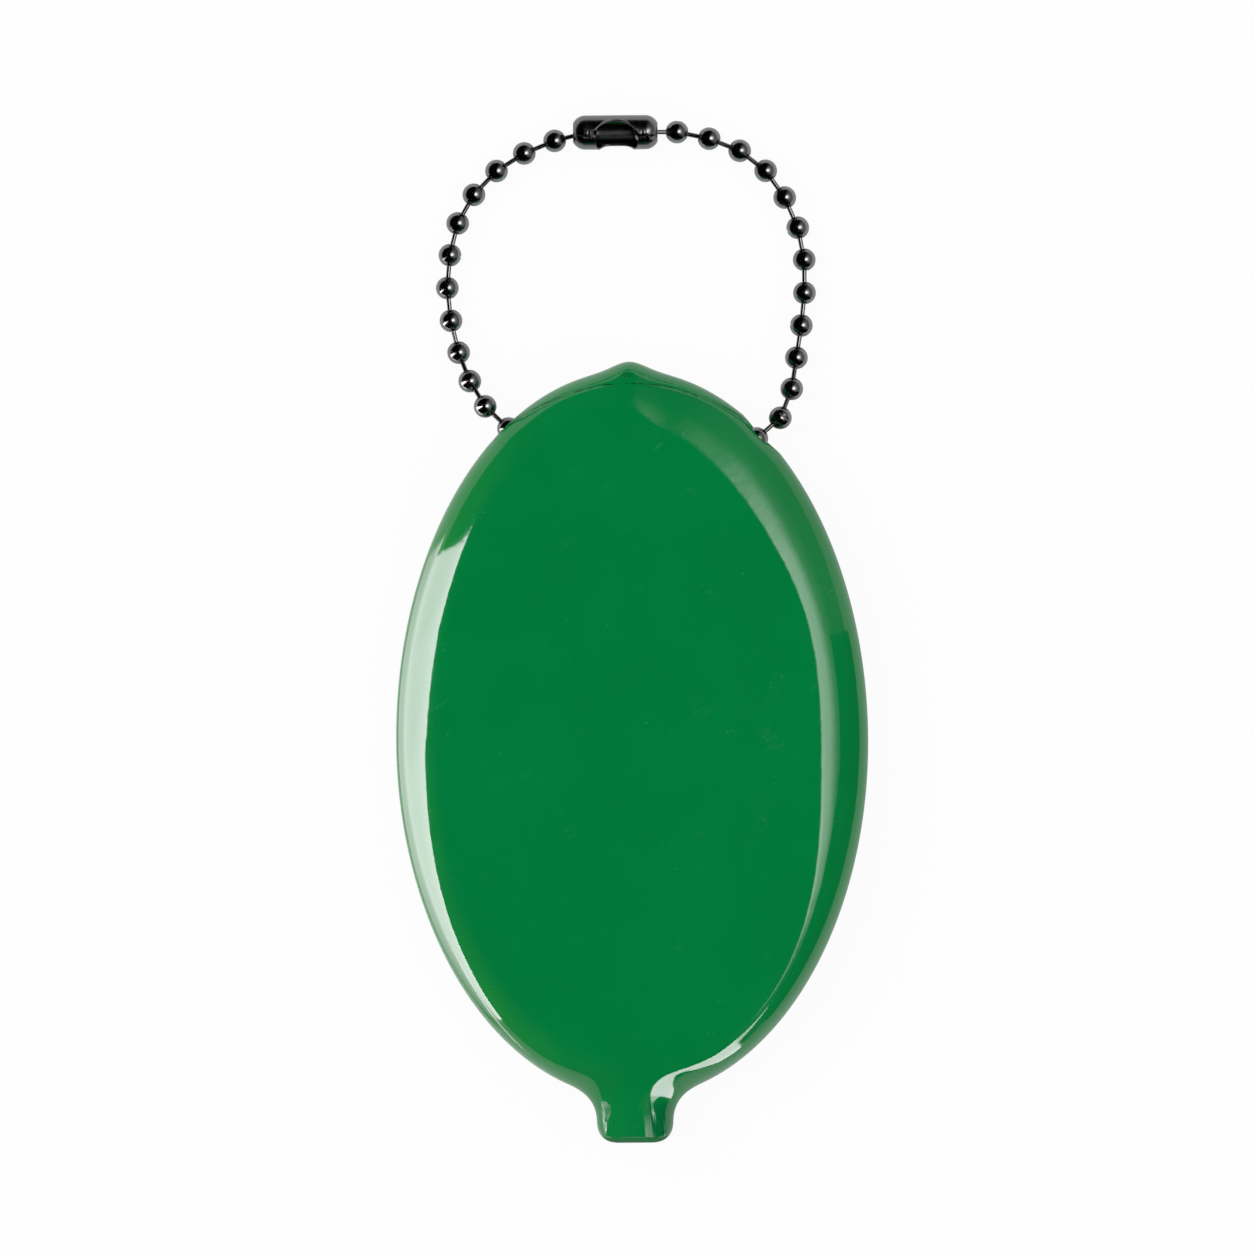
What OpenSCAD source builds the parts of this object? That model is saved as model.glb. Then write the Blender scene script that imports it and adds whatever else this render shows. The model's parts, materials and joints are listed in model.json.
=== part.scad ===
// Squeeze coin purse: a moulded soft shell with a slit back, on a loop of ball chain.
// The purse lies on its slit side, front face up, chain towards +Y, tab towards -Y.

/* [Purse] */
// Width of the shell at its widest line
body_w = 66; // [60:0.5:72]
// Reach of the oval above its widest line, towards the chain
top_h = 51.7; // [48:0.1:55]
// Reach of the oval below its widest line, towards the tab
bottom_h = 50.1; // [47:0.1:54]
// Thickness of the shell at the rim
rim_t = 12; // [10:0.5:14]
// How far the front face bulges above the rim
crown_h = 1; // [0:0.1:2]
// Thickness of the moulded wall
wall = 1.8; // [1.4:0.1:2.2]
// Depth of the rounded rim at the two sides, seen from the front
rim_side = 7; // [6:0.1:8]
// Depth of the rounded rim at the two ends, seen from the front
rim_end = 4.6; // [4:0.1:5.2]
// Height of the moulded nub above the oval
nub_h = 1.15; // [0.8:0.05:1.6]
// Half width of the nub's swell
nub_w = 3.05; // [2.4:0.05:4]

/* [Tab] */
// Width of the closed tab
tab_w = 10.7; // [9:0.1:12]
// Length of the tab past the oval
tab_l = 6.2; // [5:0.1:8]
// Thickness of the tab
tab_t = 10.4; // [9:0.1:11]
// Rounding of the tab's free corners
tab_corner = 2.6; // [2:0.1:3.4]
// Fillet between the tab and the oval
tab_fillet = 6.5; // [4:0.1:8]
// Length over which the shell thins into the tab
tab_thin_l = 7; // [6:0.1:8]
// How far before the oval's end that thinning starts
tab_thin_from = 6; // [5:0.1:6.5]

/* [Slit] */
// Length of the coin slit
slit_l = 76; // [68:1:80]
// Width of each lip, from the slit to the line on which it bends
lip_w = 18; // [16:0.5:20]
// How far the lips lie back from the face that the purse rests on
lip_back = 0.3; // [0.2:0.05:0.5]
// Gap between the two lips
lip_gap = 0.4; // [0.3:0.05:0.6]
// Gap between a lip and the shell
lip_seam = 0.3; // [0.2:0.05:0.5]

/* [Chain] */
// Diameter of a bead
bead_d = 3.2; // [3:0.05:3.3]
// Distance from bead to bead
pitch = 4.6; // [4.4:0.05:4.8]
// Thickness of the bead's sheet
bead_wall = 0.25; // [0.2:0.01:0.28]
// Diameter of the link wire
wire_d = 0.66; // [0.56:0.02:0.7]
// Gap between the wire and the bead's hole
wire_gap = 0.1; // [0.08:0.01:0.12]
// How much wider than the bead's hole a wire's head is, all round
head_over = 0.08; // [0.06:0.01:0.1]
// Gap between a wire's head and the middle of its bead
head_gap = 0.04; // [0.02:0.01:0.06]
// Slack of the chain inside the purse, as a share of the straight way between its slits
hidden_slack = 0.04; // [0.02:0.01:0.06]
// Place of the left chain slit on the rim, in degrees of the oval from its top
left_slit_at = -31.6; // [-34:0.1:-30]
// Place of the right chain slit on the rim, in degrees of the oval from its top
right_slit_at = 34.2; // [32:0.1:36]
// Depth of the left slit's bead inside the outline
left_slit_in = 0.5; // [0.3:0.1:1.2]
// Depth of the right slit's bead inside the outline
right_slit_in = 1.1; // [0.6:0.1:1.4]
// Length of each chain slit along the rim
rim_slit_l = 7.2; // [6.6:0.1:8]
// Gap between a slit's curved sides and the bead
rim_slit_gap = 0.35; // [0.25:0.05:0.5]
// How far the chain slits are cut in past the wall
rim_slit_in = 3; // [2.5:0.1:3.5]

/* [Connector] */
// Length of the connector
connector_l = 12.2; // [11.8:0.1:12.6]
// Diameter of the connector
connector_d = 4.8; // [4.6:0.05:5]
// Thickness of the connector's sheet
connector_wall = 0.32; // [0.28:0.01:0.36]
// Rounding of the connector's ends
connector_corner = 1.9; // [1.6:0.05:2]
// Gap between a held bead and the connector's end wall
seat_gap = 0.1; // [0.05:0.01:0.2]
// Diameter of the round hole in each end
end_hole_d = 2.5; // [2.4:0.05:2.6]
// Length of the window at the connector's surface
window_l = 6.4; // [6:0.1:7.6]
// Length of the window's level floor
window_floor_l = 1.8; // [1.4:0.1:3]
// Height of the window's floor over the connector's axis
window_floor_h = 0.1; // [0.05:0.05:0.8]
// Length of the upright step at each end of the window
window_step_l = 0.6; // [0.5:0.05:1]
// Height of that step
window_step_h = 0.5; // [0.4:0.05:0.9]
// Width of the slots that run from the window to the end holes
end_slot_w = 1.1; // [1:0.05:1.2]
// Turn of the window from straight up towards the purse, in degrees
window_turn = 42; // [25:1:50]
// Place of the connector's middle across the purse's long axis
connector_x = -1.7; // [-3:0.1:0]

/* [Hidden] */
// Plan headings of the links from the left slit to the connector, in degrees from +X
left_headings = [136, 121, 111, 103, 96, 85, 76, 60, 46, 32, 22, 14];
// Plan headings of the links from the right slit to the connector
right_headings = [41, 68, 81, 81, 84, 90, 101, 113, 125, 142, 158, 168, 180];
// Shares of the drop from the slit to the table that the first links take
left_drop = [0.2, 0.44, 0.36];
right_drop = [0.3, 0.32, 0.28, 0.1];
// How far the held beads lie below the connector's axis
held_low = 0.2;
// Number of paired rows that fold; the rest of the loop is the crown
rows = 8;

half_w = body_w / 2;
mid_z = rim_t / 2;
tab_end = bottom_h + tab_l;
bead_r = bead_d / 2;
bead_in = bead_r - bead_wall;
wire_r = wire_d / 2;
hole_r = wire_r + wire_gap;
head_r = hole_r + head_over;
head_at = head_r + head_gap;
connector_r = connector_d / 2;
seat_x = connector_l / 2 - connector_wall - seat_gap - bead_r;
left_n = len(left_headings) - 1;
right_n = len(right_headings) - 1;

// Level of the shell in plan: 0 on the outline, rising to about the distance from it inside

function mix(a, b, t) = a * (1 - t) + b * t;

function clamp01(t) = max(0, min(1, t));

function smooth(t) = let (c = clamp01(t)) c * c * (3 - 2 * c);

function soft_bump(a, b, k) = let (h = max(k - abs(a - b), 0) / k) h * h * k / 4;

function soft_min(a, b, k) = min(a, b) - soft_bump(a, b, k);

function soft_max(a, b, k) = max(a, b) + soft_bump(a, b, k);

function reach(y) = y > 0 ? top_h : bottom_h;

function roundness(x, y) = max(norm([x / half_w, y / reach(y)]), 0.001);

function oval_level(x, y) =
    let (
        lift = nub_h * exp(-pow(x / nub_w, 2)) * pow(max(y, 0) / top_h, 2),
        rho = roundness(x, y - lift)
    )
    max(norm([x, y - lift]), 0.001) * (1 / rho - 1);

function tab_level(x, y) =
    soft_min(soft_min(tab_w / 2 - abs(x), y + tab_end, tab_corner), -0.7 * bottom_h - y, tab_corner);

function shell_level(x, y) = soft_max(oval_level(x, y), tab_level(x, y), tab_fillet);

function rim_depth(y) = mix(rim_side, rim_end, smooth(abs(y) / reach(y)));

function tab_share(y) = smooth((-y - bottom_h + tab_thin_from) / tab_thin_l);

function front_half(x, y) =
    let (crown = crown_h * pow(max(1 - pow(roundness(x, y), 2), 0), 2))
    mix(rim_t / 2 + crown, tab_t / 2, tab_share(y));

function back_half(y) = mix(rim_t / 2, tab_t / 2, tab_share(y));

// Rays from a spine on the long axis meet each level of the shell once

ray_angles = concat(
    [for (a = [-90 : 1.5 : -67.5]) a],
    [for (a = [-64 : 4 : -44]) a],
    [for (a = [-38 : 6 : 64]) a],
    [for (a = [68 : 4 : 80]) a],
    [for (a = [82 : 2 : 90]) a]
);
last_ray = len(ray_angles) - 1;
ring_n = 2 * last_ray;

function spine(a) = a < 0 ? 0.68 * bottom_h * sin(a) : 0.58 * top_h * sin(a);

function ray_point(a, d) = [d * cos(a), spine(a) + d * sin(a)];

function level_at(p, inset) =
    inset > 0 ? (oval_level(p.x, p.y) - inset) / (rim_depth(p.y) - inset)
              : shell_level(p.x, p.y) / rim_depth(p.y);

function meet(a, q, inset, low = 0, high = body_w, turns = 22) =
    let (m = (low + high) / 2)
    turns == 0 ? m
    : level_at(ray_point(a, m), inset) > q ? meet(a, q, inset, m, high, turns - 1)
    : meet(a, q, inset, low, m, turns - 1);

// A ring goes round the shell at one level: right half up, then left half down

function half_ring(q, inset, shrink) =
    [for (a = ray_angles) ray_point(a, meet(a, q, inset) * shrink)];

function whole_ring(half) = concat(
    [for (p = half) p],
    [for (i = [last_ray - 1 : -1 : 1]) [-half[i].x, half[i].y]]
);

function front_ring(t, inset, shrink = 1) =
    [for (p = whole_ring(half_ring(1 - cos(t), inset, shrink)))
        [p.x, p.y, mid_z + (front_half(p.x, p.y) - inset) * sin(t)]];

function back_ring(t, inset, shrink = 1) =
    [for (p = whole_ring(half_ring(1 - cos(t), inset, shrink)))
        [p.x, p.y, mid_z - (back_half(p.y) - inset) * sin(t)]];

// Closed pillow: front cap of level strips, rim in even turns, flat back
module pillow(inset, steps) {
    turn = 90 / steps;
    rings = concat(
        [front_ring(90, inset, 0.3), front_ring(90, inset, 0.7)],
        [for (k = [steps : -1 : 1]) front_ring(k * turn, inset)],
        [for (k = [0 : steps]) back_ring(k * turn, inset)],
        [back_ring(90, inset, 0.5)]
    );
    ring_count = len(rings);
    cap = [for (i = [0 : last_ray - 1])
        i == 0 ? [0, 1, ring_n - 1]
        : i == last_ray - 1 ? [i, last_ray, ring_n - i]
        : [i, i + 1, ring_n - i - 1, ring_n - i]];
    sides = [for (r = [0 : ring_count - 2], i = [0 : ring_n - 1], half = [0, 1])
        let (
            j = (i + 1) % ring_n,
            a = r * ring_n + i,
            b = r * ring_n + j,
            c = a + ring_n,
            d = b + ring_n
        )
        half == 0 ? [a, c, d] : [a, d, b]];
    base = [[for (i = [ring_n - 1 : -1 : 0]) (ring_count - 1) * ring_n + i]];
    polyhedron(
        [for (r = rings, p = r) p],
        [for (f = concat(cap, sides, base)) [for (i = [len(f) - 1 : -1 : 0]) f[i]]]
    );
}

// Places along the chain

function heading(a) = [cos(a), sin(a), 0];

function oval_point(t) = [half_w * sin(t), top_h * cos(t), mid_z];

function oval_normal(t) = let (n = [sin(t) / half_w, cos(t) / top_h, 0]) n / norm(n);

function slit_bead(t, inside) = oval_point(t) - inside * oval_normal(t);

function sum_to(v, n) = n == 0 ? v[0] : v[n] + sum_to(v, n - 1);

function drop_of(shares, n, last) =
    n < len(shares) ? -shares[n] * (mid_z - bead_r)
    : n == last ? connector_r - held_low - bead_r
    : 0;

function step_of(angle, rise) =
    let (flat = sqrt(pitch * pitch - rise * rise))
    flat * heading(angle) + [0, 0, rise];

// The strand is turned as a whole about its slit until its last bead sits in the connector
function strand_turn(angles, shares, x_from, x_to) =
    let (
        last = len(angles) - 1,
        flat = [for (n = [0 : last]) step_of(angles[n], drop_of(shares, n, last))],
        end = sum_to(flat, last),
        span = norm([end.x, end.y])
    )
    acos((x_to - x_from) / span) - atan2(end.y, end.x);

function strand(angles, shares, start, x_to) =
    let (
        last = len(angles) - 1,
        turn = strand_turn(angles, shares, start.x, x_to),
        steps = [for (n = [0 : last]) step_of(angles[n] + turn, drop_of(shares, n, last))]
    )
    concat([start], [for (n = [0 : last]) start + sum_to(steps, n)]);

left = strand(left_headings, left_drop, slit_bead(left_slit_at, left_slit_in), connector_x - seat_x);
right = strand(right_headings, right_drop, slit_bead(right_slit_at, right_slit_in), connector_x + seat_x);

// Inside the purse the chain lies in an even arc whose chord joins the two slits

slit_chord = right[0] - left[0];
arc_links = ceil((1 + hidden_slack) * norm(slit_chord) / pitch);
hidden_beads = arc_links - 1;

function arc_chord(bend) = pitch * sin(arc_links * bend / 2) / sin(bend / 2);

function arc_bend(low, high, turns) =
    let (m = (low + high) / 2)
    turns == 0 ? m
    : arc_chord(m) > norm(slit_chord) ? arc_bend(m, high, turns - 1)
    : arc_bend(low, m, turns - 1);

hidden_bend = arc_bend(0.5, 40, 30);
first_heading = atan2(slit_chord.y, slit_chord.x) - hidden_bend * (arc_links - 1) / 2;
hidden_steps = [for (n = [0 : arc_links - 1]) pitch * heading(first_heading + n * hidden_bend)];
hidden = concat([left[0]], [for (n = [0 : arc_links - 1]) left[0] + sum_to(hidden_steps, n)]);

held_span = right[right_n + 1] - left[left_n + 1];
connector_at = (left[left_n + 1] + right[right_n + 1]) / 2 + [0, 0, held_low];
connector_angle = atan2(held_span.y, held_span.x);

// The model's origin is under the middle of its whole outline
origin_y = (connector_at.y + connector_r - tab_end) / 2;

module placed() {
    translate([0, -origin_y, 0]) children();
}

module along(from, to) {
    v = to - from;
    translate(from) rotate([0, acos(v.z / norm(v)), atan2(v.y, v.x)]) children();
}

function arc_radius(half_chord, rise) = (half_chord * half_chord + rise * rise) / (2 * rise);

// Lens cutter for the chain's way through the rim: a cut that the bead holds open
module rim_slit(t) {
    n = oval_normal(t);
    rise = bead_r + rim_slit_gap;
    arc_r = arc_radius(rim_slit_l / 2, rise);
    reach_in = wall + rim_slit_in;
    along(oval_point(t) - reach_in * n, oval_point(t) + bead_r * n)
        linear_extrude(reach_in + bead_r)
            intersection_for(side = [-1, 1])
                translate([side * (arc_r - rise), 0]) circle(arc_r, $fn = 64);
}

// Half lens between the slit and a curved seam, on the side given by +1 or -1
module lip_outline(side, grow, slit_edge) {
    half_l = slit_l / 2;
    arc_r = arc_radius(half_l, lip_w);
    intersection() {
        translate([side * (lip_w - arc_r), 0]) circle(arc_r + grow, $fn = 180);
        translate([side * (slit_edge + half_l), 0]) square([slit_l, 2 * slit_l], center = true);
    }
}

module purse_shell() color("green") placed()
    difference() {
        pillow(0, 6);
        pillow(wall, 4);
        for (side = [-1, 1])
            translate([0, 0, -wall]) linear_extrude(3 * wall) lip_outline(side, lip_seam, -lip_gap / 8);
        rim_slit(left_slit_at);
        rim_slit(right_slit_at);
    }

module slit_lip(side) color("green") placed()
    translate([0, 0, lip_back])
        linear_extrude(wall - lip_back) lip_outline(side, 0, lip_gap / 2);

// Hollow bead with a hole for each of its two links, turned so that its holes lie fore and aft
module bead(at, before, after) color("dimgray") placed()
    difference() {
        way = atan2(after.y - at.y, after.x - at.x);
        translate(at) rotate([0, 0, way - 90]) sphere(bead_r, $fn = 48);
        translate(at) rotate([0, 0, way - 90]) sphere(bead_in, $fn = 48);
        along(at, before) cylinder(h = bead_d, r = hole_r, $fn = 24);
        along(at, after) cylinder(h = bead_d, r = hole_r, $fn = 24);
    }

// Wire from bead to bead, with a round head trapped inside each
module link(from, to) {
    span = norm(to - from) - 2 * head_at;
    along(from, to) translate([0, 0, head_at]) {
        cylinder(h = span, r = wire_r, $fn = 24);
        for (z = [0, span]) translate([0, 0, z]) sphere(head_r, $fn = 24);
    }
}

module strand_bead(s, i) bead(s[i], s[i - 1], s[i + 1]);

module held_bead(s) {
    last = len(s) - 1;
    bead(s[last], s[last - 1], 2 * s[last] - s[last - 1]);
}

module links(s, from, to) color("gray") placed()
    for (i = [from : to]) link(s[i - 1], s[i]);

// Capsule of sheet metal about the X axis
module capsule(grow) {
    l = connector_l + 2 * grow;
    r = connector_r + grow;
    c = connector_corner + grow;
    rotate([0, 90, 0]) rotate_extrude($fn = 64) {
        translate([0, c - l / 2]) square([r, l - 2 * c]);
        translate([0, -l / 2]) square([r - c, l]);
        intersection() {
            for (end = [-1, 1]) translate([r - c, end * (l / 2 - c)]) circle(c, $fn = 48);
            translate([0, -l / 2]) square([r, l]);
        }
    }
}

// Saddle cut that opens the window, seen from the side
module window_cut() {
    top = connector_d;
    lip = connector_r * 0.92;
    rotate([90, 0, 0]) linear_extrude(2 * connector_d, center = true)
        polygon([
            [-window_floor_l / 2, window_floor_h], [window_floor_l / 2, window_floor_h],
            [window_l / 2 - window_step_l, lip - window_step_h], [window_l / 2, lip], [window_l / 2, top],
            [-window_l / 2, top], [-window_l / 2, lip], [-window_l / 2 + window_step_l, lip - window_step_h]
        ]);
}

module connector() color("dimgray") placed()
    translate(connector_at) rotate([0, 0, connector_angle]) rotate([window_turn, 0, 0])
        difference() {
            capsule(0);
            capsule(-connector_wall);
            window_cut();
            rotate([0, 90, 0]) cylinder(h = 2 * connector_l, d = end_hole_d, center = true, $fn = 48);
            translate([0, 0, connector_d / 2])
                cube([2 * connector_l, end_slot_w, connector_d], center = true);
        }

purse_shell();
slit_lip(-1);  // slit_lip_left
slit_lip(1);  // slit_lip_right
connector();
bead(left[0], hidden[1], left[1]);  // bead_slit_left
bead(right[0], hidden[arc_links - 1], right[1]);  // bead_slit_right
held_bead(left);  // bead_held_left
held_bead(right);  // bead_held_right
for (i = [1 : hidden_beads])
    strand_bead(hidden, i);
for (i = [1 : left_n])
    strand_bead(left, i);
for (i = [1 : right_n])
    strand_bead(right, i);
links(hidden, 1, arc_links);  // links_hidden
union() {  // links_crown
    links(left, rows + 1, left_n + 1);
    links(right, rows + 1, right_n + 1);
}
for (i = [1 : rows])
    union() {
        links(left, i, i);
        links(right, i, i);
    }
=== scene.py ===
"""Squeeze coin purse on a ball chain: the looks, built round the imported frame.

All shapes are worked out in millimetres, in the purse's own plan, and are put
into the meshes in metres. The purse lies on its slit side with its front up.
"""

import json
import logging
import math
from collections.abc import Callable
from dataclasses import dataclass, field
from enum import Enum

import bpy
import numpy as np
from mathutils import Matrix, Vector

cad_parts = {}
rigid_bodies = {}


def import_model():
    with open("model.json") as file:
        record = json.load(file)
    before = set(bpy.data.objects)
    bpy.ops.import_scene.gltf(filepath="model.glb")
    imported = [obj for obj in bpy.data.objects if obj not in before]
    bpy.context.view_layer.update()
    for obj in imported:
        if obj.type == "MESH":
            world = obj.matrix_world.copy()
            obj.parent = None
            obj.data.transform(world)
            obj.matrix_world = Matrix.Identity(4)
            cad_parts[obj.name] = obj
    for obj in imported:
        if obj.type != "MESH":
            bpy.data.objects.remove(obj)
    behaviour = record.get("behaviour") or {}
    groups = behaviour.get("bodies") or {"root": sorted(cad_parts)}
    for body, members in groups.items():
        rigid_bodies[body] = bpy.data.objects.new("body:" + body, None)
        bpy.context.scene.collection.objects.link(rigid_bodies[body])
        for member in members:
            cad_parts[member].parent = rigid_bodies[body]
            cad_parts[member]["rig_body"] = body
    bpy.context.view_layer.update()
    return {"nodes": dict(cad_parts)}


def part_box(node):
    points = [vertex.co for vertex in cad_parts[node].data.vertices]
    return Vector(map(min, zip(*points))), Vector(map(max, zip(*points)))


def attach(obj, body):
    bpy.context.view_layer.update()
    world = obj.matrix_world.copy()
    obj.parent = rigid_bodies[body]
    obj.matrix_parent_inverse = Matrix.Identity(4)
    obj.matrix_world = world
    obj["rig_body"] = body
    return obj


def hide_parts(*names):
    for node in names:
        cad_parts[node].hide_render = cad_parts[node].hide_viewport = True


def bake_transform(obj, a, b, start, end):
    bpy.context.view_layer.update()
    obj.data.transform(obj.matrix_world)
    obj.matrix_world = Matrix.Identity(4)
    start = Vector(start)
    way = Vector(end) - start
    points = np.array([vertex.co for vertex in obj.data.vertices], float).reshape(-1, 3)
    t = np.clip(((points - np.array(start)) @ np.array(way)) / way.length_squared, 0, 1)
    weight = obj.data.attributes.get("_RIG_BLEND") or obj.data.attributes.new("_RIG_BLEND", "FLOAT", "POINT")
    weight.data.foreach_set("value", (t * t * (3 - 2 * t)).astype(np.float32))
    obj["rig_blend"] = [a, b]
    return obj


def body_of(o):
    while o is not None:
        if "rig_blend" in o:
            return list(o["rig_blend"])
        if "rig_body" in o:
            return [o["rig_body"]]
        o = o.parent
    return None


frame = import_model()
MM = 0.001
ORIGIN_Y = 15.5873  # how far the purse's own plan lies above the frame's
RAY_SPAN = 66.0  # longer than any ray inside the purse
HALVINGS = 36  # halvings of that span when a ray is met with an outline
LEFT_TONE = (1.0, 0.87, 0.98)  # colour of the light from the left card and the table by it
LOG = logging.getLogger("coin_purse")
Array = np.ndarray
Colour = tuple[float, float, float]


# --- plain maths ---------------------------------------------------------------


def mix(a: Array | float, b: Array | float, share: Array | float) -> Array | float:
    """Straight mix of a and b: all a at share 0 and all b at share 1."""
    return a * (1 - share) + b * share


def smooth(t: Array | float) -> Array:
    """Smooth step: 3t^2 - 2t^3 with t held between 0 and 1."""
    held = np.clip(t, 0.0, 1.0)
    return held * held * (3 - 2 * held)


def unit(v: Array) -> Array:
    """The vectors of v at length 1."""
    return v / np.linalg.norm(v, axis=-1, keepdims=True)


def turned(points: Array, axis: Array, angle: Array) -> Array:
    """Turns points about an axis through the origin, by Rodrigues' formula.

    Args:
        points: Points, one a row.
        axis: Unit vector to turn about.
        angle: Angle of each point, in radians.

    Returns:
        The turned points: p cos + (k x p) sin + k (k.p)(1 - cos).
    """
    c, s = np.cos(angle)[..., None], np.sin(angle)[..., None]
    along = (points @ axis)[..., None] * axis
    return points * c + np.cross(axis, points) * s + along * (1 - c)


def arc_radius(half: float, rise: float) -> float:
    """Radius of the arc that rises by rise over a chord of twice half."""
    return (half ** 2 + rise ** 2) / (2 * rise)


def node_middle(node: str) -> Array:
    """Middle of a CAD node's box, in millimetres."""
    low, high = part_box(node)
    return (np.array(low) + np.array(high)) / 2 / MM


# --- meshes --------------------------------------------------------------------


def mesh_points(piece: bpy.types.Object) -> Array:
    """Points of a piece's mesh, one a row, in metres."""
    points = np.empty(len(piece.data.vertices) * 3, np.float32)
    piece.data.vertices.foreach_get("co", points)
    return points.reshape(-1, 3)


def store(piece: bpy.types.Object, name: str, values: Array | list[float]) -> None:
    """Stores a number at each point of a piece's mesh, as a point attribute."""
    made = piece.data.attributes.new(name, "FLOAT", "POINT")
    made.data.foreach_set("value", np.asarray(values, np.float32))


@dataclass
class Patchwork:
    """Grids of points that are sewn into one mesh where their edges meet."""

    name: str
    sheets: list[Array] = field(default_factory=list)
    quads: list[Array] = field(default_factory=list)
    count: int = 0

    def grid(self, points: Array, closed: bool = False, flip: bool = False) -> None:
        """Adds a sheet of quads.

        Args:
            points: Grid of points, rows by columns by 3, in millimetres.
            closed: Whether the last column joins the first.
            flip: Turns the faces over.
        """
        rows, columns = points.shape[:2]
        index = np.arange(rows * columns).reshape(rows, columns) + self.count
        if closed:
            index = np.concatenate([index, index[:, :1]], axis=1)
        corners = [index[:-1, :-1], index[:-1, 1:], index[1:, 1:], index[1:, :-1]]
        faces = np.stack(corners, axis=-1).reshape(-1, 4)
        self.quads.append(faces[:, ::-1] if flip else faces)
        self.sheets.append(points.reshape(-1, 3))
        self.count += rows * columns

    def sew(self, sharp: float = 50.0) -> bpy.types.Object:
        """Merges points that share a place and makes the object.

        Args:
            sharp: Angle in degrees past which an edge is shown as an edge.

        Returns:
            The new object, at the origin.
        """
        points = np.round(np.concatenate(self.sheets), 4) + 0.0
        places, index = np.unique(points, axis=0, return_inverse=True)
        faces = index.reshape(-1)[np.concatenate(self.quads)]
        polygons = []
        same = faces == np.roll(faces, -1, axis=1)
        polygons += faces[same.sum(1) == 0].tolist()
        for corner in range(4):
            thin = faces[(same.sum(1) == 1) & same[:, corner]]
            polygons += np.delete(thin, corner, axis=1).tolist()
        polygons = [p for p in polygons if len(set(p)) == len(p)]
        mesh = bpy.data.meshes.new(self.name)
        mesh.from_pydata((places * MM).tolist(), [], polygons)
        mesh.update()
        mesh.shade_smooth()
        mesh.set_sharp_from_angle(angle=math.radians(sharp))
        made = bpy.data.objects.new(self.name, mesh)
        bpy.context.scene.collection.objects.link(made)
        return made


def lathe(profile: Array, start: Array, axis: Array, sides: int) -> Array:
    """Grid of a profile turned about an axis.

    Args:
        profile: Rows of (distance along the axis, radius).
        start: Point on the axis where the distance is 0.
        axis: Unit vector of the axis.
        sides: Number of columns round.

    Returns:
        start + axis * distance + radius * (u cos + v sin), rows by sides by 3.
    """
    helper = np.array([0.0, 0.0, 1.0]) if abs(axis[2]) < 0.9 else np.array([1.0, 0.0, 0.0])
    u = unit(np.cross(helper, axis))
    v = np.cross(axis, u)
    turn = np.linspace(0, 2 * np.pi, sides, endpoint=False)
    ring = np.cos(turn)[:, None] * u + np.sin(turn)[:, None] * v
    return start + profile[:, :1, None] * axis + profile[:, 1:, None] * ring


# --- shader expressions ----------------------------------------------------------


class Value:
    """A number socket in a Python expression; each operator adds a Math node."""

    def __init__(self, shader: "Shader", socket: bpy.types.NodeSocket) -> None:
        """Wraps one output socket of a shader."""
        self.shader = shader
        self.socket = socket

    def op(self, operation: str, *others: "Value | float", clamp: bool = False) -> "Value":
        """One Math node with this value first.

        Args:
            operation: The Math node's operation.
            others: The values after this one.
            clamp: Whether the result is held between 0 and 1.

        Returns:
            The node's result.
        """
        return self.shader.math(operation, self, *others, clamp=clamp)

    def __add__(self, other: "Value | float") -> "Value":
        """Sum."""
        return self.op("ADD", other)

    __radd__ = __add__

    def __sub__(self, other: "Value | float") -> "Value":
        """Difference."""
        return self.op("SUBTRACT", other)

    def __rsub__(self, other: float) -> "Value":
        """Difference with this value second."""
        return self.shader.math("SUBTRACT", other, self)

    def __mul__(self, other: "Value | float") -> "Value":
        """Product."""
        return self.op("MULTIPLY", other)

    __rmul__ = __mul__

    def __truediv__(self, other: "Value | float") -> "Value":
        """Quotient."""
        return self.op("DIVIDE", other)

    def __abs__(self) -> "Value":
        """Size without its sign."""
        return self.op("ABSOLUTE")

    def step(self, low: float, high: float) -> "Value":
        """Smooth step from 0 at low to 1 at high."""
        t = ((self - low) / (high - low)).op("ADD", 0.0, clamp=True)
        return t * t * (3 - 2 * t)

    def edge(self, width: float) -> "Value":
        """Straight step over width, middle at 0, held between 0 and 1."""
        return (self / width).op("ADD", 0.5, clamp=True)


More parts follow.
